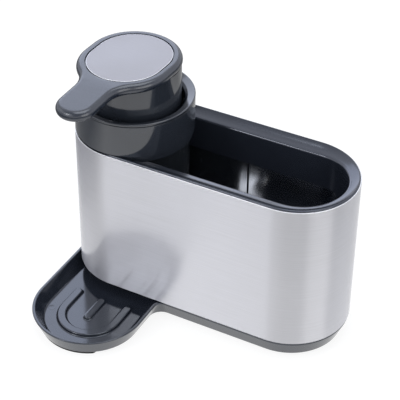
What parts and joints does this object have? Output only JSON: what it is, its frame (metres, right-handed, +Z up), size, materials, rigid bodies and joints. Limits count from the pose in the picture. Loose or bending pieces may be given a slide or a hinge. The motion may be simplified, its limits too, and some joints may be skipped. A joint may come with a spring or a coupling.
{
  "type": "soap pump caddy",
  "caption": "Steel-sleeved sink caddy with a lift-out soap bottle, a press pump with a wide round head and flat spout, an open sponge well, and a drip tray that reaches forward under the spout.",
  "frame": {"origin": "on the surface the caddy stands on, under the centre of its box", "axes": "+X along the sleeve, from the pump to the open sponge well; -Y towards the user, the way the tray and the spout point; +Z up"},
  "size_m": [0.2196, 0.1602, 0.1945],
  "materials": {
    "base_plastic": "satin moulded",
    "foot_rubber": "matte",
    "sleeve_steel": "brushed along the sleeve",
    "rim_plastic": "satin moulded",
    "bottle_plastic": "satin moulded",
    "collar_plastic": "satin moulded",
    "pump_plastic": "natural moulded",
    "seal_rubber": "matte",
    "valve_steel": "polished",
    "head_plastic": "satin moulded",
    "plate_steel": "fine brushed"
  },
  "bodies": {
    "base": {"base_tray": "base_plastic", "tray_foot": "foot_rubber", "base_feet": "foot_rubber", "steel_sleeve": "sleeve_steel", "rim_liner": "rim_plastic"},
    "bottle": {"soap_bottle": "bottle_plastic"},
    "lid": {"lid_collar": "collar_plastic", "pump_cup": "collar_plastic", "lid_gasket": "seal_rubber", "pump_chamber": "pump_plastic", "chamber_gasket": "seal_rubber", "stem_guide": "pump_plastic", "dip_tube": "pump_plastic", "return_spring": "valve_steel"},
    "lower_ball": {"inlet_ball": "valve_steel"},
    "plunger": {"pump_stem": "pump_plastic", "piston": "pump_plastic", "piston_seal": "seal_rubber"},
    "upper_ball": {"outlet_ball": "valve_steel"},
    "head": {"head_housing": "head_plastic", "head_shell": "head_plastic", "head_inlay": "plate_steel", "spout_tube": "pump_plastic"}
  },
  "joints": [
    {"name": "bottle_lift", "type": "slide", "parent": "base", "child": "bottle", "axis": [0, 0, 1], "range_m": [0, 0.125]},
    {"name": "lid_twist", "type": "hinge", "parent": "bottle", "child": "lid", "pos_m": [-0.06575, 0.0351, 0.15], "axis": [0, 0, 1], "range_deg": [0, 48]},
    {"name": "lower_ball_lift", "type": "slide", "parent": "lid", "child": "lower_ball", "axis": [0, 0, 1], "range_m": [0, 0.0018]},
    {"name": "pump_press", "type": "slide", "parent": "lid", "child": "plunger", "axis": [0, 0, -1], "range_m": [0, 0.016], "stiffness_N_per_m": 500, "springref_m": -0.015, "deforming": ["return_spring"]},
    {"name": "upper_ball_lift", "type": "slide", "parent": "plunger", "child": "upper_ball", "axis": [0, 0, 1], "range_m": [0, 0.0015]},
    {"name": "head_turn", "type": "hinge", "parent": "plunger", "child": "head", "pos_m": [-0.06575, 0.0351, 0.18], "axis": [0, 0, 1], "continuous": true}
  ]
}
